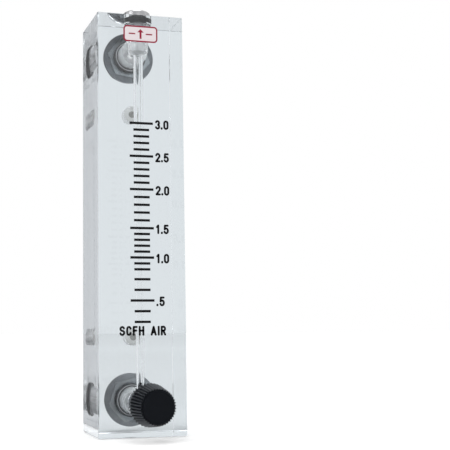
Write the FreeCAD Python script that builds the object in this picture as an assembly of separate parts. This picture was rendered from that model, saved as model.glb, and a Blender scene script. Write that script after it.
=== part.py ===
import FreeCAD, Part
import math
import os

# Clear block flow meter with needle valve. Millimetres, +Z up, front face towards -Y.
# Origin: centre of the block's base.

# block
BLOCK_W = 34.925
BLOCK_D = 28.575
BLOCK_H = 165.1
BLOCK_EDGE = 0.35
FRONT = -BLOCK_D / 2
BACK = BLOCK_D / 2

# clearances between separate pieces
FACE_GAP = 0.05
THREAD_GAP = 0.06
RUN_GAP = 0.05
SEAL_GAP = 0.03
PRINT_GAP = 0.02

# heights of the two ports, and the flow bore
PORT_END_DISTANCE = 12.7
PORT_LOW_Z = PORT_END_DISTANCE
PORT_HIGH_Z = BLOCK_H - PORT_END_DISTANCE
BORE_DEPTH = 6.35
BORE_Y = FRONT + BORE_DEPTH
BORE_TOP_DISTANCE = 15.6
BORE_TOP_Z = BLOCK_H - BORE_TOP_DISTANCE
BORE_TOP_R = 2.0
BORE_TAPER = 0.00332
DRILL_TAN = math.tan(math.radians(59))

# float and its stops
FLOAT_R = 1.5
STOP_LOW_H = 0.6
STOP_HOLE_R = 1.1
STOP_SLOT_W = 0.5
STOP_SLOT_DEPTH = 0.3
STOP_HIGH_SEAT_H = 0.35
STOP_HIGH_Z = BORE_TOP_Z + STOP_HIGH_SEAT_H
STOP_HIGH_T = 0.5
STOP_HIGH_HOLE_R = 0.5
STOP_HIGH_HOLE_AT = 1.55

# plug bore and plug
PLUG_BORE_R = 4.1
PLUG_TAP_R = 4.55
PLUG_TAP_DEPTH = 6.8
PLUG_TAP_Z = BLOCK_H - PLUG_TAP_DEPTH
PLUG_CBORE_R = 5.6
PLUG_CBORE_DEPTH = 3.1
PLUG_HEAD_R = 5.5
PLUG_HEAD_PROUD = 2.3
PLUG_HEAD_SUNK = 0.15
PLUG_HEAD_TOP_Z = BLOCK_H + PLUG_HEAD_PROUD
PLUG_HEAD_BOTTOM_Z = BLOCK_H - PLUG_HEAD_SUNK
PLUG_SLOT_W = 1.3
PLUG_SLOT_DEPTH = 1.2
PLUG_RING_R = 1.4

# rear ports in the block
PORT_HOLE_R = 5.3
PORT_HOLE_DEPTH = 14.1
PASSAGE_R = 3.0
PASSAGE_END = 8.8
PORT_CBORE_R = 6.6
PORT_CBORE_DEPTH = 2.9
PORT_SEAL_T = 1.24

# rear fittings
SPIGOT_L = 6.0
SPIGOT_BORE_R = 3.0
COLLAR_AF = 15.875
COLLAR_T = 0.8
COLLAR_TURN_LOW = 12.0
COLLAR_TURN_HIGH = -9.0
STUD_R = 6.35
STUD_L = 14.0
STUD_EDGE = 0.6
FEMALE_R = 4.6
FEMALE_L = 9.5
FEMALE_EDGE = 0.5
WASHER_R = 10.5
WASHER_T = 1.2
NUT_AF = 15.875
NUT_T = 2.4
NUT_TURN_LOW = 40.0
NUT_TURN_HIGH = 17.0

# needle valve
VALVE_BORE_R = 4.4
VALVE_BORE_L = 10.0
STOP_LOW_Z = PORT_LOW_Z + VALVE_BORE_R + FACE_GAP
STOP_LOW_TOP_Z = STOP_LOW_Z + STOP_LOW_H
ORIFICE_R = 1.5
SEAT_T = 1.4
SEAT_HOLE_R = 1.15
BONNET_FLANGE_R = 5.4
BONNET_FLANGE_T = 1.2
BONNET_HEX_AF = 9.0
BONNET_HEX_T = 1.8
BONNET_L = 4.4
BONNET_RING_AT = 3.3
BONNET_RING_R = 0.5
STEM_R = 2.38
STEM_POCKET_R = 2.8
STEM_POCKET_L = 3.8
STEM_RING_AT = 1.6
STEM_RING_R = 0.45
NEEDLE_ROOT_AT = 6.2
NEEDLE_TIP_AT = 10.9
NEEDLE_ROOT_R = 1.25
NEEDLE_TIP_R = 0.3

# knob
KNOB_BACK_AT = 8.6
KNOB_L = 12.7
KNOB_BACK_R = 8.25
KNOB_FRONT_R = 6.75
KNOB_FACE_R = 5.8
KNOB_NOSE_L = 0.4
FLUTE_DEPTH = 0.8
FLUTE_COUNT = 40
KNOB_RECESS_R = 6.2
KNOB_RECESS_L = 2.5
KNOB_SOCKET_L = 8.6

# inserts in the back face
INSERT_SPACING = 90.0
INSERT_R = 3.3
INSERT_L = 7.0
INSERT_HOLE_R = 2.0
INSERT_HOLE_L = 5.6

# printed scale on the front face: value at the top, then runs of equal steps going down
PRINT_T = 0.1
SCALE_TOP_DISTANCE = 44.14
SCALE_TOP_Z = BLOCK_H - SCALE_TOP_DISTANCE
SCALE_TOP_VALUE = 30
RUN_COUNTS = (10, 5, 7, 1, 4)
RUN_STEPS = (2.625, 3.04, 2.285, 3.82, 4.08)
TICK_T = 0.95
TICK_LONG = 9.5
TICK_SHORT = 6.4
TICKS_PER_LONG = 5

# badge above the scale
BADGE_DISTANCE = 8.0
BADGE_Z = BLOCK_H - BADGE_DISTANCE
BADGE_W = 14.0
BADGE_H = 6.6
BADGE_CORNER = 1.5
BADGE_LINE = 0.55
ARROW_H = 3.9
ARROW_W = 2.6
ARROW_SHAFT_W = 0.8
BADGE_BAR_W = 2.6
BADGE_BAR_T = 0.5
BADGE_BAR_X = 3.5


def axis_y(d, x=0.0, z=0.0):
    """Point at depth d behind the front face."""
    return FreeCAD.Vector(x, FRONT + d, z)


def rod_y(r, d0, d1, z, x=0.0):
    return Part.makeCylinder(r, d1 - d0, axis_y(d0, x, z), FreeCAD.Vector(0, 1, 0))


def cone_y(r0, r1, d0, d1, z, x=0.0):
    return Part.makeCone(r0, r1, d1 - d0, axis_y(d0, x, z), FreeCAD.Vector(0, 1, 0))


def rod_z(r, z0, z1, y=BORE_Y):
    return Part.makeCylinder(r, z1 - z0, FreeCAD.Vector(0, y, z0))


def cone_z(r0, r1, z0, z1, y=BORE_Y):
    return Part.makeCone(r0, r1, z1 - z0, FreeCAD.Vector(0, y, z0))


def ring_y(big_r, small_r, d, z):
    return Part.makeTorus(big_r, small_r, axis_y(d, 0, z), FreeCAD.Vector(0, 1, 0))


def hex_y(across_flats, d0, d1, z, turn):
    corner = across_flats / math.sqrt(3)
    pts = []
    for i in range(7):
        a = math.radians(turn + 60 * i)
        pts.append(axis_y(d0, corner * math.cos(a), z + corner * math.sin(a)))
    face = Part.Face(Part.makePolygon(pts))
    return face.extrude(FreeCAD.Vector(0, d1 - d0, 0))


def bore_radius(z):
    return BORE_TOP_R - BORE_TAPER * (BORE_TOP_Z - z)


def cone_length(r_big, r_small):
    return (r_big - r_small) / DRILL_TAN


def flow_bore():
    z0 = PORT_LOW_Z
    taper = cone_z(bore_radius(z0), BORE_TOP_R, z0, BORE_TOP_Z)
    cone_top = BORE_TOP_Z + cone_length(PLUG_BORE_R, BORE_TOP_R)
    shoulder = cone_z(BORE_TOP_R, PLUG_BORE_R, BORE_TOP_Z, cone_top)
    wide = rod_z(PLUG_BORE_R, cone_top, BLOCK_H)
    tapped = rod_z(PLUG_TAP_R, PLUG_TAP_Z, BLOCK_H)
    seat = rod_z(PLUG_CBORE_R, BLOCK_H - PLUG_CBORE_DEPTH, BLOCK_H + 1)
    return [taper, shoulder, wide, tapped, seat]


def port_bore(z):
    bottom = BLOCK_D - PORT_HOLE_DEPTH
    hole = rod_y(PORT_HOLE_R, bottom, BLOCK_D + 1, z)
    tip_l = cone_length(PORT_HOLE_R, ORIFICE_R)
    tip = cone_y(ORIFICE_R, PORT_HOLE_R, bottom - tip_l, bottom, z)
    cbore = rod_y(PORT_CBORE_R, BLOCK_D - PORT_CBORE_DEPTH, BLOCK_D + 1, z)
    return [hole, tip, cbore]


def insert_pocket(z):
    r = INSERT_R + FACE_GAP
    end = BLOCK_D - INSERT_L - FACE_GAP
    tip = cone_y(0, r, end - cone_length(r, 0), end, z)
    return [rod_y(r, end, BLOCK_D + 1, z), tip]


def body_block():
    corner = FreeCAD.Vector(-BLOCK_W / 2, FRONT, 0)
    block = Part.makeBox(BLOCK_W, BLOCK_D, BLOCK_H, corner)
    block = block.makeChamfer(BLOCK_EDGE, block.Edges)
    cuts = flow_bore() + port_bore(PORT_LOW_Z) + port_bore(PORT_HIGH_Z)
    cuts.append(rod_y(PASSAGE_R, PASSAGE_END, BLOCK_D - PORT_HOLE_DEPTH, PORT_HIGH_Z))
    cuts.append(rod_y(VALVE_BORE_R, -1, VALVE_BORE_L, PORT_LOW_Z))
    cuts.append(rod_y(ORIFICE_R, VALVE_BORE_L - 1, BLOCK_D - PORT_HOLE_DEPTH, PORT_LOW_Z))
    for sign in (-1, 1):
        z = BLOCK_H / 2 + sign * INSERT_SPACING / 2
        cuts += insert_pocket(z)
    return block.cut(cuts).removeSplitter()


def tick_heights():
    z = SCALE_TOP_Z
    value = SCALE_TOP_VALUE
    out = [(value, z)]
    for count, height in zip(RUN_COUNTS, RUN_STEPS):
        for _ in range(count):
            z -= height
            value -= 1
            out.append((value, z))
    return out


def scale_marks():
    marks = []
    y0 = FRONT - PRINT_GAP - PRINT_T
    for value, z in tick_heights():
        length = TICK_SHORT
        if value % TICKS_PER_LONG == 0:
            length = TICK_LONG
        corner = FreeCAD.Vector(-length / 2, y0, z - TICK_T / 2)
        marks.append(Part.makeBox(length, PRINT_T, TICK_T, corner))
    return Part.makeCompound(marks)


def rounded_plate(width, height, corner_r, d0, thickness, z):
    corner = FreeCAD.Vector(-width / 2, FRONT + d0, z - height / 2)
    plate = Part.makeBox(width, thickness, height, corner)
    upright = [e for e in plate.Edges if abs(e.BoundBox.YLength - thickness) < 1e-6]
    return plate.makeFillet(corner_r, upright)


def print_bar(width, height, x, z, grow, reach):
    corner = FreeCAD.Vector(x - width / 2 - grow, FRONT - PRINT_GAP - PRINT_T - reach,
                            z - height / 2 - grow)
    return Part.makeBox(width + 2 * grow, PRINT_T + 2 * reach, height + 2 * grow, corner)


def badge_motif(grow, reach):
    """Upward flow arrow between two bars, grown by a margin for the hole that it sits in."""
    half_w = ARROW_W / 2 + 2 * grow
    half_shaft = ARROW_SHAFT_W / 2 + grow
    top = BADGE_Z + ARROW_H / 2 + 2 * grow
    neck = BADGE_Z + ARROW_H / 2 - ARROW_W / 2 - grow
    foot = BADGE_Z - ARROW_H / 2 - grow
    outline = [(0, top), (half_w, neck), (half_shaft, neck), (half_shaft, foot),
               (-half_shaft, foot), (-half_shaft, neck), (-half_w, neck), (0, top)]
    y0 = FRONT - PRINT_GAP - PRINT_T - reach
    face = Part.Face(Part.makePolygon([FreeCAD.Vector(x, y0, z) for x, z in outline]))
    arrow = face.extrude(FreeCAD.Vector(0, PRINT_T + 2 * reach, 0))
    bars = [print_bar(BADGE_BAR_W, BADGE_BAR_T, sign * BADGE_BAR_X, BADGE_Z, grow, reach)
            for sign in (-1, 1)]
    return [arrow] + bars


def badge_panel():
    d0 = -PRINT_GAP - PRINT_T
    inset = BADGE_LINE + PRINT_GAP
    plate = rounded_plate(BADGE_W - 2 * inset, BADGE_H - 2 * inset, BADGE_CORNER - inset,
                          d0, PRINT_T, BADGE_Z)
    return plate.cut(badge_motif(PRINT_GAP, PRINT_T))


def badge_frame():
    d0 = -PRINT_GAP - PRINT_T
    outer = rounded_plate(BADGE_W, BADGE_H, BADGE_CORNER, d0, PRINT_T, BADGE_Z)
    inner = rounded_plate(BADGE_W - 2 * BADGE_LINE, BADGE_H - 2 * BADGE_LINE,
                          BADGE_CORNER - BADGE_LINE, d0 - 1, PRINT_T + 2, BADGE_Z)
    return Part.makeCompound([outer.cut(inner)] + badge_motif(0, 0))


def float_rest_z():
    return STOP_LOW_TOP_Z + math.sqrt(FLOAT_R ** 2 - STOP_HOLE_R ** 2) + PRINT_GAP


def float_ball():
    return Part.makeSphere(FLOAT_R, FreeCAD.Vector(0, BORE_Y, float_rest_z()))


def float_stop_lower():
    r = bore_radius(STOP_LOW_Z) - SEAL_GAP
    sleeve = rod_z(r, STOP_LOW_Z, STOP_LOW_TOP_Z)
    sleeve = sleeve.cut(rod_z(STOP_HOLE_R, STOP_LOW_Z - 1, STOP_LOW_TOP_Z + 1))
    corner_z = STOP_LOW_TOP_Z - STOP_SLOT_DEPTH
    for turn in (0, 90):
        slot = Part.makeBox(2 * FLOAT_R + 1, STOP_SLOT_W, STOP_SLOT_DEPTH + 1,
                            FreeCAD.Vector(-FLOAT_R - 0.5, -STOP_SLOT_W / 2, corner_z))
        slot.rotate(FreeCAD.Vector(0, 0, 0), FreeCAD.Vector(0, 0, 1), turn)
        slot.translate(FreeCAD.Vector(0, BORE_Y, 0))
        sleeve = sleeve.cut(slot)
    return sleeve


def float_stop_upper():
    r0 = BORE_TOP_R + (STOP_HIGH_Z - BORE_TOP_Z) * DRILL_TAN - FACE_GAP * 2
    r1 = r0 + STOP_HIGH_T * DRILL_TAN
    disc = cone_z(r0, r1, STOP_HIGH_Z, STOP_HIGH_Z + STOP_HIGH_T)
    holes = []
    for i in range(4):
        a = math.radians(45 + 90 * i)
        centre = FreeCAD.Vector(STOP_HIGH_HOLE_AT * math.cos(a),
                                BORE_Y + STOP_HIGH_HOLE_AT * math.sin(a), STOP_HIGH_Z - 1)
        holes.append(Part.makeCylinder(STOP_HIGH_HOLE_R, STOP_HIGH_T + 2, centre))
    return disc.cut(holes)


def top_plug():
    shank = rod_z(PLUG_TAP_R - THREAD_GAP, PLUG_TAP_Z + 0.3, PLUG_HEAD_BOTTOM_Z)
    neck_cut = rod_z(PLUG_TAP_R + 1, BLOCK_H - PLUG_CBORE_DEPTH, PLUG_HEAD_BOTTOM_Z)
    neck_r = PLUG_CBORE_R - 2 * PLUG_RING_R - 2 * SEAL_GAP
    shank = shank.cut(neck_cut)
    neck = rod_z(neck_r, BLOCK_H - PLUG_CBORE_DEPTH, PLUG_HEAD_BOTTOM_Z)
    head = rod_z(PLUG_HEAD_R, PLUG_HEAD_BOTTOM_Z, PLUG_HEAD_TOP_Z)
    rim = [e for e in head.Edges if abs(e.BoundBox.ZMin - PLUG_HEAD_TOP_Z) < 1e-6]
    head = head.makeChamfer(0.45, rim)
    plug = shank.fuse([neck, head])
    slot_z = PLUG_HEAD_TOP_Z - PLUG_SLOT_DEPTH
    slot = Part.makeBox(4 * PLUG_HEAD_R, PLUG_SLOT_W, PLUG_SLOT_DEPTH + 1,
                        FreeCAD.Vector(-2 * PLUG_HEAD_R, -PLUG_SLOT_W / 2, slot_z))
    slot.rotate(FreeCAD.Vector(0, 0, 0), FreeCAD.Vector(0, 0, 1), -20)
    slot.translate(FreeCAD.Vector(0, BORE_Y, 0))
    return plug.cut(slot).removeSplitter()


def top_plug_oring():
    z = BLOCK_H - PLUG_CBORE_DEPTH + PLUG_RING_R + SEAL_GAP
    big = PLUG_CBORE_R - SEAL_GAP - PLUG_RING_R
    return Part.makeTorus(big, PLUG_RING_R, FreeCAD.Vector(0, BORE_Y, z))


def fitting(z, turn):
    collar0 = BLOCK_D + FACE_GAP
    collar1 = collar0 + COLLAR_T
    end = collar1 + STUD_L
    spigot = rod_y(PORT_HOLE_R - THREAD_GAP, BLOCK_D - SPIGOT_L, collar0, z)
    collar = hex_y(COLLAR_AF, collar0, collar1, z, turn)
    stud = rod_y(STUD_R, collar1, end - STUD_EDGE, z)
    lead = cone_y(STUD_R, STUD_R - STUD_EDGE, end - STUD_EDGE, end, z)
    bore = rod_y(SPIGOT_BORE_R, 0, end + 1, z)
    female = rod_y(FEMALE_R, end - FEMALE_L, end + 1, z)
    mouth = cone_y(FEMALE_R, FEMALE_R + FEMALE_EDGE, end - FEMALE_EDGE, end, z)
    body = spigot.fuse([collar, stud, lead])
    groove = rod_y(COLLAR_AF, BLOCK_D - PORT_CBORE_DEPTH, collar0, z)
    keep_r = PORT_CBORE_R - PORT_SEAL_T - 2 * SEAL_GAP
    groove = groove.cut(rod_y(keep_r, BLOCK_D - PORT_CBORE_DEPTH - 1, collar0 + 1, z))
    return body.cut([bore, female, mouth, groove]).removeSplitter()


def port_seal(z):
    d0 = BLOCK_D - PORT_CBORE_DEPTH + SEAL_GAP
    outer_r = PORT_CBORE_R - SEAL_GAP
    sleeve = rod_y(outer_r, d0, BLOCK_D, z)
    return sleeve.cut(rod_y(outer_r - PORT_SEAL_T, d0 - 1, BLOCK_D + 1, z))


def panel_washer(z):
    d0 = BLOCK_D + COLLAR_T + 2 * FACE_GAP
    washer = rod_y(WASHER_R, d0, d0 + WASHER_T, z)
    return washer.cut(rod_y(STUD_R + 2 * THREAD_GAP, d0 - 1, d0 + WASHER_T + 1, z))


def locknut(z, turn):
    d0 = BLOCK_D + COLLAR_T + WASHER_T + 3 * FACE_GAP
    nut = hex_y(NUT_AF, d0, d0 + NUT_T, z, turn)
    corner = NUT_AF / math.sqrt(3)
    cap = cone_y(corner + 1.2, corner - 0.8, d0 + NUT_T - 1.6, d0 + NUT_T, z)
    keep = rod_y(corner + 1.2, d0, d0 + NUT_T - 1.6, z).fuse(cap)
    nut = nut.common(keep)
    return nut.cut(rod_y(STUD_R + THREAD_GAP, d0 - 1, d0 + NUT_T + 1, z))


def valve_seat():
    d1 = VALVE_BORE_L - FACE_GAP
    ring = rod_y(VALVE_BORE_R - SEAL_GAP, d1 - SEAT_T, d1, PORT_LOW_Z)
    mouth = cone_y(SEAT_HOLE_R + 0.5, SEAT_HOLE_R, d1 - SEAT_T, d1 - SEAT_T + 0.5, PORT_LOW_Z)
    return ring.cut([rod_y(SEAT_HOLE_R, d1 - SEAT_T - 1, d1 + 1, PORT_LOW_Z), mouth])


def valve_bonnet():
    z = PORT_LOW_Z
    flange = rod_y(BONNET_FLANGE_R, -FACE_GAP - BONNET_FLANGE_T, -FACE_GAP, z)
    hexagon = hex_y(BONNET_HEX_AF, -FACE_GAP - BONNET_FLANGE_T - BONNET_HEX_T,
                    -FACE_GAP - BONNET_FLANGE_T, z, 0)
    barrel = rod_y(VALVE_BORE_R - THREAD_GAP, -FACE_GAP, BONNET_L, z)
    half = BONNET_RING_R + 2 * SEAL_GAP
    groove = rod_y(VALVE_BORE_R + 1, BONNET_RING_AT - half, BONNET_RING_AT + half, z)
    keep_r = VALVE_BORE_R - 2 * BONNET_RING_R - 2 * SEAL_GAP
    groove = groove.cut(rod_y(keep_r, BONNET_RING_AT - 2, BONNET_RING_AT + 2, z))
    thread = rod_y(STEM_R + RUN_GAP, -2 * BONNET_FLANGE_R, BONNET_L + 1, z)
    pocket = rod_y(STEM_POCKET_R, BONNET_L - STEM_POCKET_L, BONNET_L + 1, z)
    body = flange.fuse([hexagon, barrel])
    return body.cut([groove, thread, pocket]).removeSplitter()


def bonnet_oring():
    big = VALVE_BORE_R - SEAL_GAP - BONNET_RING_R
    return ring_y(big, BONNET_RING_R, BONNET_RING_AT, PORT_LOW_Z)


def valve_stem():
    z = PORT_LOW_Z
    outer_end = -KNOB_BACK_AT - KNOB_SOCKET_L + FACE_GAP
    shaft = rod_y(STEM_R, outer_end, STEM_RING_AT - STEM_RING_R - 0.1, z)
    neck_r = STEM_POCKET_R - 2 * STEM_RING_R - 2 * SEAL_GAP
    neck = rod_y(neck_r, STEM_RING_AT - STEM_RING_R - 0.1, STEM_RING_AT + STEM_RING_R + 0.1, z)
    land_r = STEM_POCKET_R - 2 * SEAL_GAP
    land = rod_y(land_r, STEM_RING_AT + STEM_RING_R + 0.1, STEM_RING_AT + STEM_RING_R + 0.5, z)
    tail = rod_y(NEEDLE_ROOT_R, STEM_RING_AT + STEM_RING_R + 0.5, NEEDLE_ROOT_AT, z)
    needle = cone_y(NEEDLE_ROOT_R, NEEDLE_TIP_R, NEEDLE_ROOT_AT, NEEDLE_TIP_AT, z)
    return shaft.fuse([neck, land, tail, needle]).removeSplitter()


def stem_oring():
    big = STEM_POCKET_R - SEAL_GAP - STEM_RING_R
    return ring_y(big, STEM_RING_R, STEM_RING_AT, PORT_LOW_Z)


def fluted_wire(r_tip, d):
    pts = []
    r_root = r_tip - FLUTE_DEPTH * r_tip / KNOB_BACK_R
    pattern = [(0.0, r_root), (0.5, r_tip)]
    for i in range(FLUTE_COUNT):
        for part, r in pattern:
            a = 2 * math.pi * (i + part) / FLUTE_COUNT
            pts.append(axis_y(d, r * math.sin(a), PORT_LOW_Z + r * math.cos(a)))
    pts.append(pts[0])
    return Part.makePolygon(pts)


def knob():
    back = -KNOB_BACK_AT
    face = back - KNOB_L
    nose = face + KNOB_NOSE_L
    fluted = Part.makeLoft([fluted_wire(KNOB_FRONT_R, nose), fluted_wire(KNOB_BACK_R, back)],
                           True, True)
    tip = cone_y(KNOB_FACE_R, KNOB_FRONT_R - FLUTE_DEPTH, face, nose, PORT_LOW_Z)
    body = fluted.fuse(tip)
    recess = rod_y(KNOB_RECESS_R, back - KNOB_RECESS_L, back + 1, PORT_LOW_Z)
    socket = rod_y(STEM_R + SEAL_GAP, back - KNOB_SOCKET_L, back + 1, PORT_LOW_Z)
    return body.cut([recess, socket]).removeSplitter()


def mount_insert(z):
    d1 = BLOCK_D
    insert = rod_y(INSERT_R, d1 - INSERT_L, d1, z)
    hole = rod_y(INSERT_HOLE_R, d1 - INSERT_HOLE_L, d1 + 1, z)
    lead = cone_y(INSERT_HOLE_R, INSERT_HOLE_R + 0.4, d1 - 0.4, d1, z)
    return insert.cut([hole, lead])


def save(name, shape):
    if not shape.isValid():
        raise RuntimeError(name + " is not a valid solid")
    shape.exportStep("parts/" + name + ".step")
    box = shape.BoundBox
    print("%-20s solids %2d volume %9.2f  x %7.2f %7.2f  y %7.2f %7.2f  z %7.2f %7.2f" % (
        name, len(shape.Solids), shape.Volume, box.XMin, box.XMax, box.YMin, box.YMax,
        box.ZMin, box.ZMax))


def main():
    os.makedirs("parts", exist_ok=True)
    save("body_block", body_block())
    save("scale_marks", scale_marks())
    save("badge_panel", badge_panel())
    save("badge_frame", badge_frame())
    save("float_ball", float_ball())
    save("float_stop_lower", float_stop_lower())
    save("float_stop_upper", float_stop_upper())
    save("top_plug", top_plug())
    save("top_plug_oring", top_plug_oring())
    save("inlet_adapter", fitting(PORT_LOW_Z, COLLAR_TURN_LOW))
    save("outlet_adapter", fitting(PORT_HIGH_Z, COLLAR_TURN_HIGH))
    save("inlet_seal", port_seal(PORT_LOW_Z))
    save("outlet_seal", port_seal(PORT_HIGH_Z))
    save("inlet_washer", panel_washer(PORT_LOW_Z))
    save("outlet_washer", panel_washer(PORT_HIGH_Z))
    save("inlet_locknut", locknut(PORT_LOW_Z, NUT_TURN_LOW))
    save("outlet_locknut", locknut(PORT_HIGH_Z, NUT_TURN_HIGH))
    save("valve_seat", valve_seat())
    save("valve_bonnet", valve_bonnet())
    save("bonnet_oring", bonnet_oring())
    save("valve_stem", valve_stem())
    save("stem_oring", stem_oring())
    save("knob", knob())
    save("mount_insert_lower", mount_insert(BLOCK_H / 2 - INSERT_SPACING / 2))
    save("mount_insert_upper", mount_insert(BLOCK_H / 2 + INSERT_SPACING / 2))


main()
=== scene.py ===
"""Clear block flow meter with a needle valve: materials, printed lettering, threads, camera and light
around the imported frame. Lengths are written in millimetres and turned to metres with MM."""

import math

import bmesh
import bpy
from mathutils import Matrix, Vector


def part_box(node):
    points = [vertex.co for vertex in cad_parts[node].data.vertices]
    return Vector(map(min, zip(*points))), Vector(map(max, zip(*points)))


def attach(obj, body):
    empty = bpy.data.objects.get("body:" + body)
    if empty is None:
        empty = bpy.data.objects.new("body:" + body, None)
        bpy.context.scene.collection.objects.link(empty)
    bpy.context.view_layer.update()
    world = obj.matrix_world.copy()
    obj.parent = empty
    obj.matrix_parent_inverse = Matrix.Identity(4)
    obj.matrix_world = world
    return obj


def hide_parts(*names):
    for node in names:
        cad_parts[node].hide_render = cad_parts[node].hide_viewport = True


MM = 0.001
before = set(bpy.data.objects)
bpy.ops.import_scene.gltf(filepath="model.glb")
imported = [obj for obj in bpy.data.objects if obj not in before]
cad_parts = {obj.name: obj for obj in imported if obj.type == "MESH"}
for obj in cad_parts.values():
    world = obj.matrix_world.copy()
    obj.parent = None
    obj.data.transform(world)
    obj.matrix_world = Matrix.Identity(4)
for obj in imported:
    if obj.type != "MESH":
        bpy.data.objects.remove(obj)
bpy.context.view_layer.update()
bpy.context.scene.view_settings.view_transform = "Standard"
# light crosses the clear block many times before it leaves
bpy.context.scene.cycles.max_bounces = 32
bpy.context.scene.cycles.glossy_bounces = 24
bpy.context.scene.cycles.transmission_bounces = 24

METER = "meter_body"

block_lo, block_hi = (Vector(v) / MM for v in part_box("body_block"))
FRONT = block_lo.y
BACK = block_hi.y
HEIGHT = block_hi.z
DEPTH = BACK - FRONT


def node_centre(node):
    low, high = (Vector(v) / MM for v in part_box(node))
    return (low + high) / 2


PORT_LOW_Z = node_centre("inlet_washer").z
PORT_HIGH_Z = node_centre("outlet_washer").z
BORE_Y = node_centre("float_ball").y
INSERT_LOW_Z = node_centre("mount_insert_lower").z
INSERT_HIGH_Z = node_centre("mount_insert_upper").z


def mesh_object(name, bm, materials):
    """Turns a bmesh into an object in the scene, with its materials in slot order."""
    mesh = bpy.data.meshes.new(name)
    bm.to_mesh(mesh)
    bm.free()
    for material in materials:
        mesh.materials.append(material)
    obj = bpy.data.objects.new(name, mesh)
    bpy.context.scene.collection.objects.link(obj)
    return obj


# ---------------------------------------------------------------- camera

CAMERA_YAW = 14.78
CAMERA_PITCH = 7.14
CAMERA_ROLL = -0.41
CAMERA_PLACE = Vector((-98.66, -377.85, 41.37))
CAMERA_LENS = 78.03
CAMERA_SHIFT_X = 0.2
CAMERA_SHIFT_Y = -0.0444


def make_camera():
    """Camera set by its yaw from +Y towards +X, its pitch upwards and its roll, in degrees."""
    data = bpy.data.cameras.new("camera")
    cam = bpy.data.objects.new("camera", data)
    bpy.context.scene.collection.objects.link(cam)
    yaw, pitch, roll = (math.radians(angle) for angle in (CAMERA_YAW, CAMERA_PITCH, CAMERA_ROLL))
    ahead = Vector((math.sin(yaw) * math.cos(pitch), math.cos(yaw) * math.cos(pitch), math.sin(pitch)))
    right = Vector((math.cos(yaw), -math.sin(yaw), 0))
    up = right.cross(ahead)
    right_rolled = math.cos(roll) * right + math.sin(roll) * up
    up_rolled = math.cos(roll) * up - math.sin(roll) * right
    stand = Matrix((right_rolled, up_rolled, -ahead)).transposed().to_4x4()
    stand.translation = CAMERA_PLACE * MM
    cam.matrix_world = stand
    data.sensor_width = 36
    data.lens = CAMERA_LENS
    data.shift_x = CAMERA_SHIFT_X
    data.shift_y = CAMERA_SHIFT_Y
    data.clip_start = 0.01
    data.clip_end = 50
    bpy.context.scene.camera = cam


make_camera()


# ---------------------------------------------------------------- materials

class Maker:
    """A material whose nodes are added one call at a time."""

    def __init__(self, name, **sockets):
        self.material = bpy.data.materials.new(name)
        self.material.use_nodes = True
        self.tree = self.material.node_tree
        self.tree.nodes.clear()
        out = self.tree.nodes.new("ShaderNodeOutputMaterial")
        self.bsdf = self.tree.nodes.new("ShaderNodeBsdfPrincipled")
        self.tree.links.new(self.bsdf.outputs[0], out.inputs["Surface"])
        self.set(self.bsdf, **sockets)
        self.coords = None

    def feed(self, socket, value):
        if isinstance(value, bpy.types.NodeSocket):
            self.tree.links.new(value, socket)
        else:
            socket.default_value = value

    def set(self, node, **sockets):
        for key, value in sockets.items():
            self.feed(node.inputs[key.replace("_", " ")], value)

    def node(self, kind, props=None, **sockets):
        made = self.tree.nodes.new(kind)
        for key, value in (props or {}).items():
            setattr(made, key, value)
        self.set(made, **sockets)
        return made

    def position(self, centre=(0, 0, 0)):
        """Millimetres from a centre, in the part's own frame."""
        if self.coords is None:
            self.coords = self.node("ShaderNodeTexCoord")
        mapping = self.node("ShaderNodeMapping", Vector=self.coords.outputs["Object"])
        mapping.inputs["Scale"].default_value = (1 / MM, 1 / MM, 1 / MM)
        mapping.inputs["Location"].default_value = tuple(-c for c in centre)
        return mapping.outputs["Vector"]

    def math(self, operation, a, b=0.0):
        made = self.node("ShaderNodeMath", {"operation": operation})
        self.feed(made.inputs[0], a)
        self.feed(made.inputs[1], b)
        return made.outputs[0]

    def noise(self, vector, scale, detail=3.0, rough=0.5):
        made = self.node("ShaderNodeTexNoise", Vector=vector, Scale=scale, Detail=detail, Roughness=rough)
        return made.outputs["Fac"]

    def stretch(self, vector, factors):
        made = self.node("ShaderNodeMapping", Vector=vector)
        made.inputs["Scale"].default_value = factors
        return made.outputs["Vector"]

    def remap(self, value, from_low, from_high, low, high):
        made = self.node("ShaderNodeMapRange", Value=value, From_Min=from_low, From_Max=from_high,
                         To_Min=low, To_Max=high)
        return made.outputs["Result"]

    def spread(self, value, low, high):
        """A noise value spread over a range: most of a noise lies between 0.3 and 0.7."""
        return self.remap(value, 0.3, 0.7, low, high)

    def blend(self, factor, low, high):
        """Colour from low to high as the factor goes from 0 to 1."""
        made = self.node("ShaderNodeMix", {"data_type": "RGBA"})
        self.tree.links.new(factor, made.inputs[0])
        made.inputs[6].default_value = (*low, 1)
        made.inputs[7].default_value = (*high, 1)
        return made.outputs[2]

    def bump(self, height, strength, distance_mm):
        made = self.node("ShaderNodeBump", Height=height, Strength=strength)
        made.inputs["Distance"].default_value = distance_mm * MM
        self.set(self.bsdf, Normal=made.outputs["Normal"])


def around(maker, centre, axis):
    """Distance from the turning axis through centre, and the position that it is worked out from."""
    vector = maker.position(centre)
    parts = maker.node("ShaderNodeSeparateXYZ", Vector=vector)
    first, second = {"Y": ("X", "Z"), "Z": ("X", "Y")}[axis]
    square = maker.math("ADD", maker.math("MULTIPLY", parts.outputs[first], parts.outputs[first]),
                        maker.math("MULTIPLY", parts.outputs[second], parts.outputs[second]))
    return maker.math("SQRT", square), vector


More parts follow.
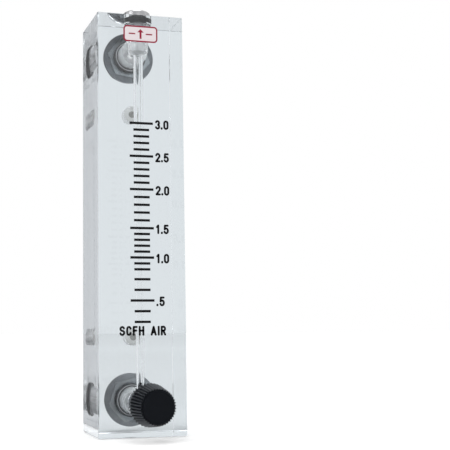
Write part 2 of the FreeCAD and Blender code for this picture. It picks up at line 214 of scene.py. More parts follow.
def turned_metal(name, colour, dark, roughness, centre, axis="Y", rings=9.0, depth=0.5):
    """Metal with fine tool rings round its own axis, and slightly uneven plating."""
    m = Maker(name, Metallic=1.0)
    radius, vector = around(m, centre, axis)
    ring = m.node("ShaderNodeTexNoise", {"noise_dimensions": "1D"}, W=radius, Scale=rings, Detail=3.0)
    cloud = m.noise(vector, 0.35, 4.0)
    grain = m.noise(vector, 6.0, 2.0)
    tone = m.math("ADD", m.math("MULTIPLY", ring.outputs["Fac"], 0.55), m.math("MULTIPLY", cloud, 0.45))
    m.set(m.bsdf, Base_Color=m.blend(m.spread(tone, 0, 1), dark, colour))
    m.set(m.bsdf, Roughness=m.spread(m.math("MULTIPLY", m.math("ADD", cloud, grain), 0.5),
                                     roughness * 0.8, roughness * 1.25))
    m.bump(ring.outputs["Fac"], depth, 0.02)
    return m.material


def insert_metal(name, centre, shade_r):
    """Pale turned insert, darker in the middle of its tapped hole, where little light comes."""
    m = Maker(name, Metallic=1.0, Roughness=0.45)
    radius, vector = around(m, centre, "Y")
    lit = m.math("GREATER_THAN", radius, shade_r)
    m.set(m.bsdf, Base_Color=m.blend(lit, (0.42, 0.41, 0.39), (0.95, 0.94, 0.92)))
    m.bump(m.noise(m.stretch(vector, (0.5, 3.0, 0.5)), 2.0, 2.0), 0.4, 0.03)
    return m.material


def rubber(name):
    """Black rubber with a fine speckle."""
    m = Maker(name, Metallic=0.0)
    vector = m.position()
    speck = m.noise(vector, 7.0, 4.0)
    m.set(m.bsdf, Base_Color=m.blend(m.spread(speck, 0, 1), (0.008, 0.008, 0.009), (0.022, 0.022, 0.024)))
    m.set(m.bsdf, Roughness=m.spread(speck, 0.32, 0.5))
    m.bump(speck, 0.25, 0.02)
    return m.material


KNOB_NOSE_L = 0.4
KNOB_L = 12.7
KNOB_FRONT_R = 6.75
KNOB_BACK_R = 8.25
KNOB_TAPER = (KNOB_BACK_R - KNOB_FRONT_R) / (KNOB_L - KNOB_NOSE_L)
FLUTE_DEPTH = 0.8


def black_plastic(name, face_y):
    """Moulded black knob: smooth dark face, and a painted highlight on the grip behind it: its flute
    crests are lighter and glossier than its grooves.
    """
    m = Maker(name, Metallic=0.0)
    vector = m.position()
    along = m.node("ShaderNodeSeparateXYZ", Vector=vector).outputs["Y"]
    behind_rim = m.math("SUBTRACT", along, face_y + KNOB_NOSE_L)
    grip = m.math("GREATER_THAN", behind_rim, 0.05)
    crest = m.math("ADD", KNOB_FRONT_R, m.math("MULTIPLY", behind_rim, KNOB_TAPER))
    radius = around(m, (0, 0, PORT_LOW_Z), "Y")[0]
    groove = m.math("MULTIPLY", m.math("SUBTRACT", crest, radius), 1 / FLUTE_DEPTH)
    # painted highlight: the grip's flute crests are coloured lighter than its grooves
    crest_highlight = m.math("MULTIPLY", grip, m.math("SUBTRACT", 1.0, m.math("MULTIPLY", groove, 1.5)))
    crest_highlight = m.node("ShaderNodeClamp", Value=crest_highlight).outputs[0]
    cloud = m.noise(vector, 0.5, 4.0)
    fine = m.noise(vector, 14.0, 3.0)
    tone = m.math("ADD", m.math("MULTIPLY", crest_highlight, 0.9), m.math("MULTIPLY", cloud, 0.1))
    m.set(m.bsdf, Base_Color=m.blend(tone, (0.003, 0.004, 0.006), (0.030, 0.033, 0.042)))
    m.set(m.bsdf, Specular_IOR_Level=m.math("ADD", 0.06, m.math("MULTIPLY", crest_highlight, 0.34)))
    m.set(m.bsdf, Roughness=m.spread(m.math("MULTIPLY", m.math("ADD", cloud, fine), 0.5), 0.3, 0.44))
    m.bump(fine, 0.2, 0.015)
    return m.material


PORT_RING_LINE = 5.5
PORT_RING_STEP = 0.8
PORT_RING_SIDE_R = 6.5


def ring_rubber(name, centre):
    """Port seal: black round its side and in lines a step apart where its end touches, with a pale painted
    sheen between the lines.
    """
    m = Maker(name, Metallic=0.0, Roughness=0.4)
    radius, vector = around(m, centre, "Y")
    phase = m.math("MULTIPLY", m.math("SUBTRACT", radius, PORT_RING_LINE), 2 * math.pi / PORT_RING_STEP)
    wave = m.math("ADD", m.math("MULTIPLY", m.math("COSINE", phase), 0.5), 0.5)
    side = m.math("GREATER_THAN", radius, PORT_RING_SIDE_R)
    black_not_sheen = m.math("MAXIMUM", m.math("POWER", wave, 1.6), side)
    # painted sheen: pale between the black lines, standing for light reflected off the black rubber
    m.set(m.bsdf, Base_Color=m.blend(black_not_sheen, (0.62, 0.62, 0.63), (0.010, 0.010, 0.012)))
    m.bump(m.noise(vector, 7.0, 4.0), 0.2, 0.02)
    return m.material


def ink(name, colour, thin, roughness=0.5):
    """Printed ink: a little thin and uneven at a close look."""
    m = Maker(name, Metallic=0.0)
    vector = m.position()
    cover = m.noise(vector, 5.0, 4.0, 0.6)
    m.set(m.bsdf, Base_Color=m.blend(m.spread(cover, 0, 1), thin, colour))
    m.set(m.bsdf, Roughness=m.spread(cover, roughness * 0.85, roughness * 1.15), Specular_IOR_Level=0.12)
    m.bump(cover, 0.15, 0.01)
    return m.material


def glass(name, colour, roughness, clear=1.0):
    """Clear plastic; a surface that is less than all clear scatters the rest, as a frosted one does."""
    m = Maker(name, Metallic=0.0, Roughness=roughness, IOR=1.49)
    m.set(m.bsdf, Base_Color=(*colour, 1))
    m.set(m.bsdf, Transmission_Weight=clear)
    return m.material


def cloudy_plastic(name, low, high, roughness):
    """Pale moulded plastic, faintly cloudy."""
    m = Maker(name, Metallic=0.0)
    vector = m.position()
    cloud = m.noise(vector, 2.0, 3.0)
    m.set(m.bsdf, Base_Color=m.blend(m.spread(cloud, 0, 1), low, high))
    m.set(m.bsdf, Roughness=m.spread(cloud, roughness * 0.8, roughness * 1.2))
    m.bump(cloud, 0.1, 0.02)
    return m.material


port_axis_low = (0, 0, PORT_LOW_Z)
port_axis_high = (0, 0, PORT_HIGH_Z)
bore_axis = (0, BORE_Y, 0)

ACRYLIC_TINT = (0.70, 0.75, 0.78)
ACRYLIC = glass("acrylic_polished", ACRYLIC_TINT, 0.0)
ACRYLIC_EDGE = glass("acrylic_edge", ACRYLIC_TINT, 0.12)
# painted light: the block's left side face is the same acrylic tinted paler than its other faces
ACRYLIC_SIDE = glass("acrylic_side", (0.82, 0.85, 0.89), 0.0)
ACRYLIC_DRILLED = glass("acrylic_drilled", (0.98, 0.98, 0.98), 0.42, 0.88)
ACRYLIC_BORED = glass("acrylic_bored", (0.98, 0.98, 0.98), 0.02)
ACRYLIC_TIP = glass("acrylic_drill_tip", (0.97, 0.97, 0.97), 0.25)
CLEAR_STOP = glass("clear_moulded", (0.93, 0.95, 0.95), 0.08)
INK_BLACK = ink("ink_black", (0.002, 0.002, 0.003), (0.006, 0.006, 0.007))
INK_RED = ink("ink_red", (0.26, 0.012, 0.035), (0.36, 0.03, 0.06))
INK_PALE = ink("ink_pale", (0.86, 0.80, 0.81), (0.80, 0.70, 0.72))
RUBBER = rubber("o_ring_rubber")
KNOB_BLACK = black_plastic("knob_plastic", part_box("knob")[0][1] / MM)
BALL_BLACK = turned_metal("float_gloss", (0.03, 0.03, 0.033), (0.015, 0.015, 0.017), 0.12,
                          bore_axis, "Z", 1.0, 0.0)
SEAT_WHITE = cloudy_plastic("seat_fluoropolymer", (0.78, 0.78, 0.76), (0.86, 0.86, 0.85), 0.45)
PLUG_CHROME = turned_metal("plug_chrome", (0.62, 0.62, 0.63), (0.16, 0.16, 0.17), 0.16,
                           bore_axis, "Z", 0.7, 0.3)
RING_LOW = ring_rubber("ring_rubber_low", port_axis_low)
RING_HIGH = ring_rubber("ring_rubber_high", port_axis_high)


# ---------------------------------------------------------------- building pieces

def smooth(mesh, sharp):
    """Smooth shading, with hard edges where faces meet at more than sharp degrees."""
    mesh.polygons.foreach_set("use_smooth", [True] * len(mesh.polygons))
    mesh.set_sharp_from_angle(angle=math.radians(sharp))


def finish_mesh(name, bm, materials, sharp=32):
    bmesh.ops.remove_doubles(bm, verts=bm.verts, dist=1e-7)
    bmesh.ops.recalc_face_normals(bm, faces=bm.faces)
    obj = mesh_object(name, bm, materials)
    smooth(obj.data, sharp)
    return obj


def place(obj, body, slot, *nodes):
    """Says which body a piece rides on and the CAD nodes that it replaces, which it hides; its slot is not
    used.
    """
    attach(obj, body)
    if nodes:
        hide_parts(*nodes)
    return obj


def lathe(bm, profile, axis, origin, segments=96):
    """Turns a closed profile of (radius, distance along the axis, material) round an axis.
    A radius may be a function of the angle, which is how threads are cut."""
    rings = []
    for radius, along, _ in profile:
        if radius == 0:
            angles = [0.0]
        else:
            angles = [2 * math.pi * i / segments for i in range(segments)]
        ring = []
        for a in angles:
            r = radius(a) if callable(radius) else radius
            if axis == "Y":
                p = Vector((r * math.cos(a), along, r * math.sin(a)))
            else:
                p = Vector((r * math.cos(a), r * math.sin(a), along))
            ring.append(bm.verts.new((p + Vector(origin)) * MM))
        rings.append(ring)
    count = len(rings)
    for i in range(count):
        a, b = rings[i], rings[(i + 1) % count]
        if len(a) == 1 and len(b) == 1:
            continue
        for j in range(segments):
            k = (j + 1) % segments
            if len(a) == 1:
                verts = (a[0], b[j], b[k])
            elif len(b) == 1:
                verts = (a[j], b[0], a[k])
            else:
                verts = (a[j], b[j], b[k], a[k])
            bm.faces.new(verts).material_index = profile[i][2]
    return bm


THREAD_FADE = 0.8
THREAD_SLOPE = 1.25
THREAD_FLAT = 0.12


def thread(crest, depth, pitch, start, end, material=0, steps=6):
    """Profile points of a helical thread between two places on the axis, faded at both ends.
    A negative depth cuts outwards, into the wall of a hole."""
    count = max(2, round(abs(end - start) / pitch * steps))
    points = []
    for i in range(count + 1):
        t = start + (end - start) * i / count
        fade = min(1.0, abs(t - start) / (THREAD_FADE * pitch), abs(t - end) / (THREAD_FADE * pitch))

        def radius(angle, t=t, fade=fade):
            phase = (t / pitch - angle / (2 * math.pi)) % 1.0
            valley = abs(2 * phase - 1)
            return crest - depth * fade * min(1.0, max(0.0, valley * THREAD_SLOPE - THREAD_FLAT))

        points.append((radius, t, material))
    return points


def hexagon(bm, across_flats, y0, y1, centre_z, turn, hole_r, chamfer):
    """Hexagonal collar along Y with a round hole, its corners turned down by a chamfer."""
    bevel = chamfer * 0.6
    corner = across_flats / math.sqrt(3)

    def rim(angle):
        a = (angle - math.radians(turn)) % math.radians(60) - math.radians(30)
        return across_flats / 2 / math.cos(a)

    def cut(angle):
        return min(rim(angle), corner - chamfer)

    profile = [(hole_r, y0, 0), (cut, y0, 0), (rim, y0 + bevel, 0), (rim, y1 - bevel, 0),
               (cut, y1, 0), (hole_r, y1, 0)]
    return lathe(bm, profile, "Y", (0, 0, centre_z))


# ---------------------------------------------------------------- clear block

PORT_HOLE_R = 5.3
PORT_HOLE_DEPTH = 14.1
PORT_HOLE_END = DEPTH - PORT_HOLE_DEPTH
PORT_CBORE_R = 6.6
PORT_CBORE_DEPTH = 2.9
PASSAGE_R = 3.0
PASSAGE_END = 8.8
VALVE_BORE_R = 4.4
VALVE_BORE_L = 10.0
ORIFICE_R = 1.5
PLUG_BORE_R = 4.1
PLUG_TAP_R = 4.55
PLUG_TAP_DEPTH = 6.8
PLUG_TAP_GROOVE = 0.32
PLUG_TAP_PITCH = 1.0
PLUG_CBORE_R = 5.6
PLUG_CBORE_DEPTH = 3.1
BORE_TOP_DEPTH = 15.6
BORE_TOP_Z = HEIGHT - BORE_TOP_DEPTH
BORE_TOP_R = 2.0
BORE_TAPER = 0.00332
DRILL_TAN = math.tan(math.radians(59))
INSERT_SEAT_R = 3.35
INSERT_SEAT_DEPTH = 7.05
BROKEN_EDGE = 0.3
BLOCK_SKINS = (ACRYLIC, ACRYLIC_EDGE, ACRYLIC_DRILLED, ACRYLIC_BORED, ACRYLIC_TIP, ACRYLIC_SIDE)
POLISHED, EDGE, DRILLED, BORED, TIP, SIDE = range(6)
OUT = 4.0  # how far a cutter stands out of the block


def drill_tip(big, small):
    """Length of the cone that a 118 degree drill leaves between two radii."""
    return (big - small) / DRILL_TAN


def flow_bore_cutter():
    """Tapered bore from the lower port up, its tapped top and the counterbore of the plug."""
    low_r = BORE_TOP_R - BORE_TAPER * (BORE_TOP_Z - PORT_LOW_Z)
    cone_top = BORE_TOP_Z + drill_tip(PLUG_BORE_R, BORE_TOP_R)
    tap_z = HEIGHT - PLUG_TAP_DEPTH
    cbore_z = HEIGHT - PLUG_CBORE_DEPTH
    profile = [(0, PORT_LOW_Z, BORED), (low_r, PORT_LOW_Z, BORED),
               (BORE_TOP_R, BORE_TOP_Z, DRILLED), (PLUG_BORE_R, cone_top, DRILLED),
               (PLUG_BORE_R, tap_z, DRILLED)]
    profile += thread(PLUG_TAP_R, PLUG_TAP_GROOVE, PLUG_TAP_PITCH, tap_z + 0.01, cbore_z - 0.01, DRILLED)
    profile += [(PLUG_CBORE_R, cbore_z, BORED), (PLUG_CBORE_R, HEIGHT + OUT, BORED),
                (0, HEIGHT + OUT, BORED)]
    return lathe(bmesh.new(), profile, "Z", (0, BORE_Y, 0))


def port_profile(inner_r):
    """From the deep end of a rear port out through the back face, depths from the front face."""
    tip = PORT_HOLE_END - drill_tip(PORT_HOLE_R, inner_r)
    cbore = DEPTH - PORT_CBORE_DEPTH
    return [(inner_r, tip, TIP), (PORT_HOLE_R, PORT_HOLE_END, DRILLED), (PORT_HOLE_R, cbore, BORED),
            (PORT_CBORE_R, cbore, BORED), (PORT_CBORE_R, DEPTH + OUT, BORED), (0, DEPTH + OUT, BORED)]


def upper_port_cutter():
    """Outlet passage behind the bore's top, and the port that it opens into."""
    profile = [(0, PASSAGE_END, TIP), (PASSAGE_R, PASSAGE_END, BORED)] + port_profile(PASSAGE_R)
    return lathe(bmesh.new(), profile, "Y", (0, FRONT, PORT_HIGH_Z))


def lower_port_cutter():
    """Valve bore from the front, the orifice behind it and the port from the back."""
    profile = [(0, -OUT, BORED), (VALVE_BORE_R, -OUT, BORED),
               (VALVE_BORE_R, VALVE_BORE_L, TIP), (ORIFICE_R, VALVE_BORE_L, BORED)]
    profile += port_profile(ORIFICE_R)
    return lathe(bmesh.new(), profile, "Y", (0, FRONT, PORT_LOW_Z))


def insert_cutter(z):
    end = DEPTH - INSERT_SEAT_DEPTH
    profile = [(0, end - drill_tip(INSERT_SEAT_R, 0), TIP), (INSERT_SEAT_R, end, DRILLED),
               (INSERT_SEAT_R, DEPTH + OUT, DRILLED), (0, DEPTH + OUT, DRILLED)]
    return lathe(bmesh.new(), profile, "Y", (0, FRONT, z), 64)


def plain_block():
    """The block before it is drilled, its edges broken."""
    bm = bmesh.new()
    bmesh.ops.create_cube(bm, size=1.0)
    size = (block_hi - block_lo) * MM
    middle = (block_hi + block_lo) / 2 * MM
    for v in bm.verts:
        v.co = Vector((v.co.x * size.x, v.co.y * size.y, v.co.z * size.z)) + middle
    made = bmesh.ops.bevel(bm, geom=bm.edges, offset=BROKEN_EDGE * MM, segments=2, affect="EDGES",
                           profile=0.5)
    bm.normal_update()
    for face in bm.faces:
        # the left side face takes the paler painted-light tint
        face.material_index = SIDE if face.normal.x < -0.99 else POLISHED
    for face in made["faces"]:
        face.material_index = EDGE
    return finish_mesh("clear_block", bm, BLOCK_SKINS)


def make_block():
    block = plain_block()
    cutters = []
    for i, cutter in enumerate((flow_bore_cutter(), upper_port_cutter(), lower_port_cutter(),
                                insert_cutter(INSERT_LOW_Z), insert_cutter(INSERT_HIGH_Z))):
        tool = finish_mesh("cutter_%d" % i, cutter, BLOCK_SKINS)
        cut = block.modifiers.new("cut", "BOOLEAN")
        cut.operation = "DIFFERENCE"
        cut.solver = "EXACT"
        cut.material_mode = "INDEX"
        cut.object = tool
        cutters.append(tool)
    bpy.context.view_layer.update()
    evaluated = block.evaluated_get(bpy.context.evaluated_depsgraph_get())
    drilled = bpy.data.meshes.new_from_object(evaluated)
    block.modifiers.clear()
    block.data = drilled
    drilled.name = "clear_block"
    smooth(drilled, 12)
    for tool in cutters:
        bpy.data.objects.remove(tool)
    return place(block, METER, "clear_block", "body_block")


make_block()


# ---------------------------------------------------------------- rear fittings

FACE_GAP = 0.05
COLLAR_AF = 15.875
COLLAR_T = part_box("inlet_washer")[0][1] / MM - BACK - 2 * FACE_GAP
COLLAR_CHAMFER = 0.25
CORE_STEP = 0.1
CORE_OVERLAP = 0.2
STUD_R = 6.35
STUD_L = 14.0
STUD_PITCH = 1.27
STUD_GROOVE = 0.6
STUD_NECK_R = STUD_R - 0.5
STUD_NECK_L = 0.3
STUD_TIP_R = STUD_R - 0.65
STUD_THREAD_START = 0.5
STUD_THREAD_STOP = 0.6
FEMALE_R = 4.6
FEMALE_L = 9.5
FEMALE_PITCH = 0.94
FEMALE_GROOVE = 0.4
FEMALE_CREST_R = FEMALE_R + 0.05
FEMALE_CHAMFER = 0.5
FEMALE_THREAD_STOP = 0.6
SPIGOT_L = 6.0
SPIGOT_LEAD = 0.3
SPIGOT_GAP = 0.06
SPIGOT_R = PORT_HOLE_R - SPIGOT_GAP
SPIGOT_PITCH = 0.8
SPIGOT_GROOVE = 0.35
SPIGOT_BORE_R = 3.0
INSERT_SHADE_R = 1.5


def make_fitting(name, node, z, turn, metal):
    """Rear port fitting: spigot in the block, hexagonal collar, panel stud and female pipe thread."""
    bm = bmesh.new()
    tip = DEPTH - SPIGOT_L
    seat = DEPTH - PORT_CBORE_DEPTH
    collar0 = DEPTH + FACE_GAP
    collar1 = collar0 + COLLAR_T
    end = collar1 + STUD_L
    bottom = end - FEMALE_L
    profile = [(SPIGOT_BORE_R, tip, 0), (SPIGOT_R - SPIGOT_GROOVE, tip, 0)]
    profile += thread(SPIGOT_R, SPIGOT_GROOVE, SPIGOT_PITCH, tip + SPIGOT_LEAD, seat)
    profile += [(SPIGOT_R, collar0 + CORE_STEP, 0), (STUD_NECK_R, collar0 + CORE_STEP, 0),
                (STUD_NECK_R, collar1 + STUD_NECK_L, 0)]
    profile += thread(STUD_R, STUD_GROOVE, STUD_PITCH, collar1 + STUD_THREAD_START, end - STUD_THREAD_STOP)
    profile += [(STUD_TIP_R, end, 0), (FEMALE_R + FEMALE_CHAMFER, end, 1)]
    profile += thread(FEMALE_CREST_R, -FEMALE_GROOVE, FEMALE_PITCH, end - FEMALE_CHAMFER,
                      bottom + FEMALE_THREAD_STOP, 1)
    profile += [(FEMALE_R, bottom, 1), (SPIGOT_BORE_R, bottom, 1)]
    lathe(bm, profile, "Y", (0, FRONT, z))
    hexagon(bm, COLLAR_AF, FRONT + collar0, FRONT + collar1, z, turn, SPIGOT_R - CORE_OVERLAP,
            COLLAR_CHAMFER)
    # its bore and female thread take the plating darkened with painted shade
    obj = finish_mesh(name, bm, [metal, BORE_PAINTED_SHADE], 28)
    return place(obj, METER, "plated_metal", node)


# painted light and shade: the two port fittings are the same plating, lighter on the upper one than on the
# lower
METAL_LOW = turned_metal("plated_low", (0.56, 0.56, 0.57), (0.44, 0.44, 0.45), 0.3, port_axis_low)
METAL_HIGH = turned_metal("plated_high", (0.70, 0.70, 0.71), (0.54, 0.54, 0.55), 0.28, port_axis_high)
# painted shade: the fitting's bore and female thread are the same plating given a far darker tone, for the
# shade inside them
BORE_PAINTED_SHADE = turned_metal("plated_bore_painted_shade", (0.13, 0.13, 0.13), (0.06, 0.06, 0.06), 0.45, port_axis_low)
NUT_LOW = turned_metal("nut_low", (0.58, 0.58, 0.59), (0.46, 0.46, 0.47), 0.3, port_axis_low)
NUT_HIGH = turned_metal("nut_high", (0.58, 0.58, 0.59), (0.46, 0.46, 0.47), 0.3, port_axis_high)
# painted light and shade: the two washers are alike, darker on the upper one than on the lower
WASHER_LOW = turned_metal("washer_low", (0.46, 0.46, 0.475), (0.30, 0.30, 0.31), 0.42,
                          port_axis_low, "Y", 5.0, 0.6)
WASHER_HIGH = turned_metal("washer_high", (0.40, 0.40, 0.415), (0.27, 0.27, 0.28), 0.42,
                           port_axis_high, "Y", 5.0, 0.6)
INSERT_LOW = insert_metal("insert_low", (0, 0, INSERT_LOW_Z), INSERT_SHADE_R)
INSERT_HIGH = insert_metal("insert_high", (0, 0, INSERT_HIGH_Z), INSERT_SHADE_R)

make_fitting("inlet_fitting", "inlet_adapter", PORT_LOW_Z, 12.0, METAL_LOW)
make_fitting("outlet_fitting", "outlet_adapter", PORT_HIGH_Z, -9.0, METAL_HIGH)


# ---------------------------------------------------------------- squeezed rubber rings

PRESS = 0.015  # how far rubber goes into the acrylic, so that the contact shows black
PORT_SEAL_T = 1.24
PORT_SEAL_CORNER = 0.12
PORT_SEAL_PROUD = 0.02
PLUG_RING_T = 2.8
PLUG_RING_CORNER = 0.6
PLUG_RING_PROUD = 0.1


def rounded_section(r0, r1, a0, a1, corner, steps=5):
    """Closed outline of a squeezed ring that fills its groove, with its four corners rounded."""
    points = []
    for r, a, start in ((r0, a0, 180), (r1, a0, 270), (r1, a1, 0), (r0, a1, 90)):
        cr = r + corner if r == r0 else r - corner
        ca = a + corner if a == a0 else a - corner
        for i in range(steps + 1):
            t = math.radians(start + 90 * i / steps)
            points.append((cr + corner * math.cos(t), ca + corner * math.sin(t), 0))
    return points


def make_port_ring(name, node, z, rubber_skin):
    seat = DEPTH - PORT_CBORE_DEPTH
    profile = rounded_section(PORT_CBORE_R - PORT_SEAL_T, PORT_CBORE_R + PRESS, seat - PRESS,
                              DEPTH + PORT_SEAL_PROUD, PORT_SEAL_CORNER)
    obj = finish_mesh(name, lathe(bmesh.new(), profile, "Y", (0, FRONT, z), 128), [rubber_skin], 40)
    return place(obj, METER, "ring_black", node)


def make_plug_ring():
    seat = HEIGHT - PLUG_CBORE_DEPTH
    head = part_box("top_plug_oring")[1][2] / MM
    profile = rounded_section(PLUG_CBORE_R - PLUG_RING_T, PLUG_CBORE_R + PRESS, seat - PRESS,
                              head + PLUG_RING_PROUD, PLUG_RING_CORNER)
    obj = finish_mesh("plug_ring", lathe(bmesh.new(), profile, "Z", (0, BORE_Y, 0), 128), [RUBBER], 40)
    return place(obj, METER, "ring_black", "top_plug_oring")


make_port_ring("inlet_ring", "inlet_seal", PORT_LOW_Z, RING_LOW)
make_port_ring("outlet_ring", "outlet_seal", PORT_HIGH_Z, RING_HIGH)
make_plug_ring()


# ---------------------------------------------------------------- materials of the CAD nodes that stay

NODE_MATERIALS = {
    "scale_marks": INK_BLACK,
    "badge_panel": INK_PALE,
    "badge_frame": INK_RED,
    "float_ball": BALL_BLACK,
    "float_stop_lower": CLEAR_STOP,
    "float_stop_upper": CLEAR_STOP,
    "top_plug": PLUG_CHROME,
    "bonnet_oring": RUBBER,
    "stem_oring": RUBBER,
    "inlet_washer": WASHER_LOW,
    "outlet_washer": WASHER_HIGH,
    "inlet_locknut": NUT_LOW,
    "outlet_locknut": NUT_HIGH,
    "valve_seat": SEAT_WHITE,
    "valve_bonnet": METAL_LOW,
    "valve_stem": METAL_LOW,
    "knob": KNOB_BLACK,
    "mount_insert_lower": INSERT_LOW,
    "mount_insert_upper": INSERT_HIGH,
}

for node_name, node_material in NODE_MATERIALS.items():
    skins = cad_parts[node_name].data.materials
    skins.clear()
    skins.append(node_material)


# ---------------------------------------------------------------- printed numbers and unit legend

PRINT_GAP = 0.02
PRINT_T = 0.08
STROKE = 0.80
LETTER_H = 2.95
MITRE_LIMIT = 0.75
CAP_STEPS = 8
LONG_MARK_X = 4.5
LABELS = ("3.0", "2.5", "2.0", "1.5", "1.0")
LABEL_X = 6.0
LABEL_BELOW_MARK = 1.82
LABEL_SPACING = 0.2
LAST_LABEL = ".5"
LAST_LABEL_X = 5.9
LAST_LABEL_SPACING = 0.35
LEGEND = (("SCFH", -8.85), ("AIR", 3.5))
LEGEND_Z = 38.5
LEGEND_SPACING = 0.42


def arc(cx, cy, rx, ry, start, end, steps=14):
    angles = [math.radians(start + (end - start) * i / steps) for i in range(steps + 1)]
    return [(cx + rx * math.cos(a), cy + ry * math.sin(a)) for a in angles]


# each glyph: its width in millimetres, then its strokes in a box that is 1 high and 1 wide
GLYPHS = {
    "0": (1.35, [arc(0.5, 0.74, 0.5, 0.26, 0, 180) + arc(0.5, 0.26, 0.5, 0.26, 180, 360) + [(1.0, 0.74)]]),
    "1": (1.0, [[(0.05, 0.8), (0.55, 1.0)], [(0.55, 1.0), (0.55, 0.0)]]),
    "2": (1.35, [arc(0.5, 0.73, 0.5, 0.27, 165, -28) + [(0.0, 0.0)], [(0.0, 0.0), (1.0, 0.0)]]),
    "3": (1.35, [arc(0.5, 0.76, 0.47, 0.24, 160, -90) + arc(0.5, 0.26, 0.5, 0.26, 90, -160)]),
    "5": (1.35, [[(0.95, 1.0), (0.12, 1.0)], [(0.12, 1.0), (0.04, 0.5)],
                 arc(0.47, 0.31, 0.53, 0.31, 140, -155)]),
    ".": (0.1, [[(0.0, 0.0), (0.1, 0.0)], [(0.0, 0.06), (0.1, 0.06)]]),
    "S": (1.45, [arc(0.5, 0.76, 0.47, 0.24, 15, 250) + arc(0.5, 0.26, 0.5, 0.26, 70, -165)]),
    "C": (1.35, [arc(0.5, 0.72, 0.5, 0.28, 10, 180) + arc(0.5, 0.28, 0.5, 0.28, 180, 350)]),
    "F": (1.15, [[(0.0, 0.0), (0.0, 1.0)], [(0.0, 1.0), (1.0, 1.0)], [(0.0, 0.53), (0.85, 0.53)]]),
    "H": (1.45, [[(0.0, 0.0), (0.0, 1.0)], [(1.0, 0.0), (1.0, 1.0)], [(0.0, 0.52), (1.0, 0.52)]]),
    "A": (1.6, [[(0.0, 0.0), (0.5, 1.0)], [(0.5, 1.0), (1.0, 0.0)], [(0.2, 0.3), (0.8, 0.3)]]),
    "I": (0.0, [[(0.0, 0.0), (0.0, 1.0)]]),
    "R": (1.35, [[(0.0, 0.0), (0.0, 1.0)],
                 [(0.0, 1.0), (0.5, 1.0)] + arc(0.5, 0.75, 0.48, 0.25, 90, -90) + [(0.0, 0.5)],
                 [(0.5, 0.5), (1.0, 0.0)]]),
}


def outline(points, half):
    """Outline of a stroke with round ends."""
    pts = [Vector(p) for p in points]
    left, right = [], []
    for i, p in enumerate(pts):
        before = (p - pts[i - 1]).normalized() if i else None
        after = (pts[i + 1] - p).normalized() if i + 1 < len(pts) else None
        if before is None:
            before = after
        if after is None:
            after = before
        along = (before + after).normalized()
        side = Vector((-along.y, along.x)) * half / max(MITRE_LIMIT, along.dot(before))
        left.append(p + side)
        right.append(p - side)

    def cap(centre, spoke):
        first = math.atan2(spoke.y, spoke.x)
        angles = [first - math.pi * k / CAP_STEPS for k in range(1, CAP_STEPS)]
        return [centre + half * Vector((math.cos(a), math.sin(a))) for a in angles]

    end_cap = cap(pts[-1], left[-1] - pts[-1])
    start_cap = cap(pts[0], right[0] - pts[0])
    return left + end_cap + right[::-1] + start_cap


def add_stroke(bm, points, x, z):
    """One stroke as a thin slab just off the front face."""
    loop = outline(points, STROKE / 2)
    y1 = FRONT - PRINT_GAP
    y0 = y1 - PRINT_T
    front = [bm.verts.new(Vector((x + p.x, y0, z + p.y)) * MM) for p in loop]
    back = [bm.verts.new(Vector((x + p.x, y1, z + p.y)) * MM) for p in loop]
    bm.faces.new(front)
    bm.faces.new(back[::-1])
    for i in range(len(loop)):
        j = (i + 1) % len(loop)
        bm.faces.new((front[i], back[i], back[j], front[j]))


def write(bm, text, x, z, spacing):
    """Writes a word from x along the front face, the centres of its lowest strokes at z."""
    for letter in text:
        width, strokes = GLYPHS[letter]
        for points in strokes:
            add_stroke(bm, [(px * width, pz * LETTER_H) for px, pz in points], x, z)
        x += width + STROKE + spacing


def long_mark_heights():
    """Heights of the long scale marks from the top down, each halfway between its two edges."""
    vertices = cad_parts["scale_marks"].data.vertices
    edges = {round(v.co.z / MM, 2) for v in vertices if abs(v.co.x) / MM > LONG_MARK_X}
    edges = sorted(edges, reverse=True)
    return [(high + low) / 2 for high, low in zip(edges[0::2], edges[1::2])]


def make_lettering():
    bm = bmesh.new()
    heights = [z - LABEL_BELOW_MARK for z in long_mark_heights()]
    for label, z in zip(LABELS, heights):
        write(bm, label, LABEL_X, z, LABEL_SPACING)
    write(bm, LAST_LABEL, LAST_LABEL_X, heights[-1], LAST_LABEL_SPACING)
    for word, x in LEGEND:
        write(bm, word, x, LEGEND_Z, LEGEND_SPACING)
    obj = finish_mesh("scale_numerals", bm, [INK_BLACK], 40)
    return place(obj, METER, "print_black")


make_lettering()


# ---------------------------------------------------------------- floor, world and lamps

FLOOR_R = 6000
FLOOR_Z = -0.3
FLOOR_SEEN = (0.29, 0.43)
FLOOR_THROUGH_BLOCK = (0.0, 0.28)
FADE_START_R = 300
FADE_END_R = 1500
CARD_LEFT = -300
CARD_RIGHT = -25
CARD_FRONT = -20
CARD_BACK = 100
CARD_TOP = 350
CARD_Z = -0.2


def floor_white():
    """White floor. Where the camera, a mirror or the clear block shows it, it also glows a little,
    and more towards the distance, because the lamps fall off there."""
    m = Maker("floor_white", Roughness=0.8, Base_Color=(0.82, 0.82, 0.82, 1))
    path = m.node("ShaderNodeLightPath")
    radius = around(m, (0, 0, 0), "Z")[0]

    def glow(near, far):
        return m.remap(radius, FADE_START_R, FADE_END_R, near, far)

    through = path.outputs["Is Transmission Ray"]
    seen = m.math("MAXIMUM", path.outputs["Is Camera Ray"], path.outputs["Is Glossy Ray"])
    direct = m.math("MULTIPLY", seen, m.math("SUBTRACT", 1.0, through))
    m.set(m.bsdf, Emission_Color=(1, 1, 1, 1),
          Emission_Strength=m.math("ADD", m.math("MULTIPLY", direct, glow(*FLOOR_SEEN)),
                                   m.math("MULTIPLY", through, glow(*FLOOR_THROUGH_BLOCK))))
    return m.material


def make_floor():
    bm = bmesh.new()
    bmesh.ops.create_circle(bm, cap_ends=True, radius=FLOOR_R * MM, segments=96)
    floor = mesh_object("floor", bm, [floor_white()])
    floor.location = (0, 0, FLOOR_Z * MM)


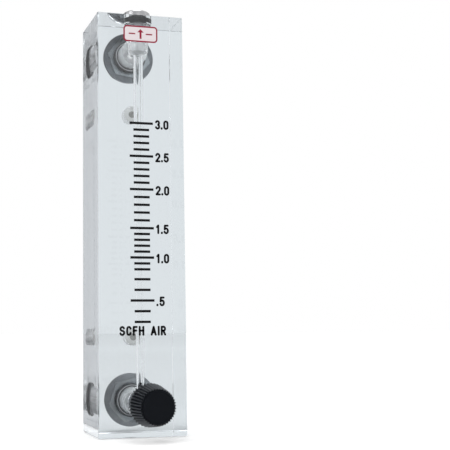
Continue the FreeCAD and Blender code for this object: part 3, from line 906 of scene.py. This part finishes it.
def make_grey_card():
    """Grey card on the floor and upright behind the left side: mirror reflections alone show it."""
    bm = bmesh.new()
    corners = [[bm.verts.new(Vector((x, y, z)) * MM) for x in (CARD_LEFT, CARD_RIGHT)]
               for y, z in ((CARD_FRONT, CARD_Z), (CARD_BACK, CARD_Z), (CARD_BACK, CARD_TOP))]
    for low, high in zip(corners, corners[1:]):
        bm.faces.new((low[0], low[1], high[1], high[0]))
    grey = Maker("card_grey", Base_Color=(0.16, 0.16, 0.165, 1), Roughness=0.9)
    card = mesh_object("grey_card", bm, [grey.material])
    card.visible_camera = False
    card.visible_diffuse = False
    card.visible_transmission = False
    card.visible_shadow = False


WORLD_LIGHT = 0.7
WORLD_SEEN = 1.0
LIT_POINT = (0, 0, 80)


def make_world():
    """White world, of one strength as light and another where the camera, a mirror or glass shows it."""
    world = bpy.data.worlds.new("studio")
    bpy.context.scene.world = world
    world.use_nodes = True
    tree = world.node_tree
    tree.nodes.clear()
    out = tree.nodes.new("ShaderNodeOutputWorld")
    mix = tree.nodes.new("ShaderNodeMixShader")
    path = tree.nodes.new("ShaderNodeLightPath")
    camera_or_glossy = tree.nodes.new("ShaderNodeMath")
    camera_or_glossy.operation = "MAXIMUM"
    seen = tree.nodes.new("ShaderNodeMath")
    seen.operation = "MAXIMUM"
    tree.links.new(path.outputs["Is Camera Ray"], camera_or_glossy.inputs[0])
    tree.links.new(path.outputs["Is Glossy Ray"], camera_or_glossy.inputs[1])
    tree.links.new(camera_or_glossy.outputs[0], seen.inputs[0])
    tree.links.new(path.outputs["Is Transmission Ray"], seen.inputs[1])
    tree.links.new(seen.outputs[0], mix.inputs[0])
    for slot, strength in ((1, WORLD_LIGHT), (2, WORLD_SEEN)):
        background = tree.nodes.new("ShaderNodeBackground")
        background.inputs["Color"].default_value = (1, 1, 1, 1)
        background.inputs["Strength"].default_value = strength
        tree.links.new(background.outputs[0], mix.inputs[slot])
    tree.links.new(mix.outputs[0], out.inputs[0])


def make_lamp(name, where, target, size, watts):
    """Rectangular lamp at a place, turned to a target."""
    data = bpy.data.lights.new(name, "AREA")
    data.shape = "RECTANGLE"
    data.size, data.size_y = Vector(size) * MM
    data.energy = watts
    lamp = bpy.data.objects.new(name, data)
    lamp.location = Vector(where) * MM
    lamp.rotation_euler = (Vector(target) - Vector(where)).to_track_quat("-Z", "Y").to_euler()
    bpy.context.scene.collection.objects.link(lamp)


make_floor()
make_grey_card()
make_world()
make_lamp("key", (-900, -500, 900), LIT_POINT, (500, 700), 6.0)
make_lamp("top", (100, 100, 1200), LIT_POINT, (700, 700), 5.0)
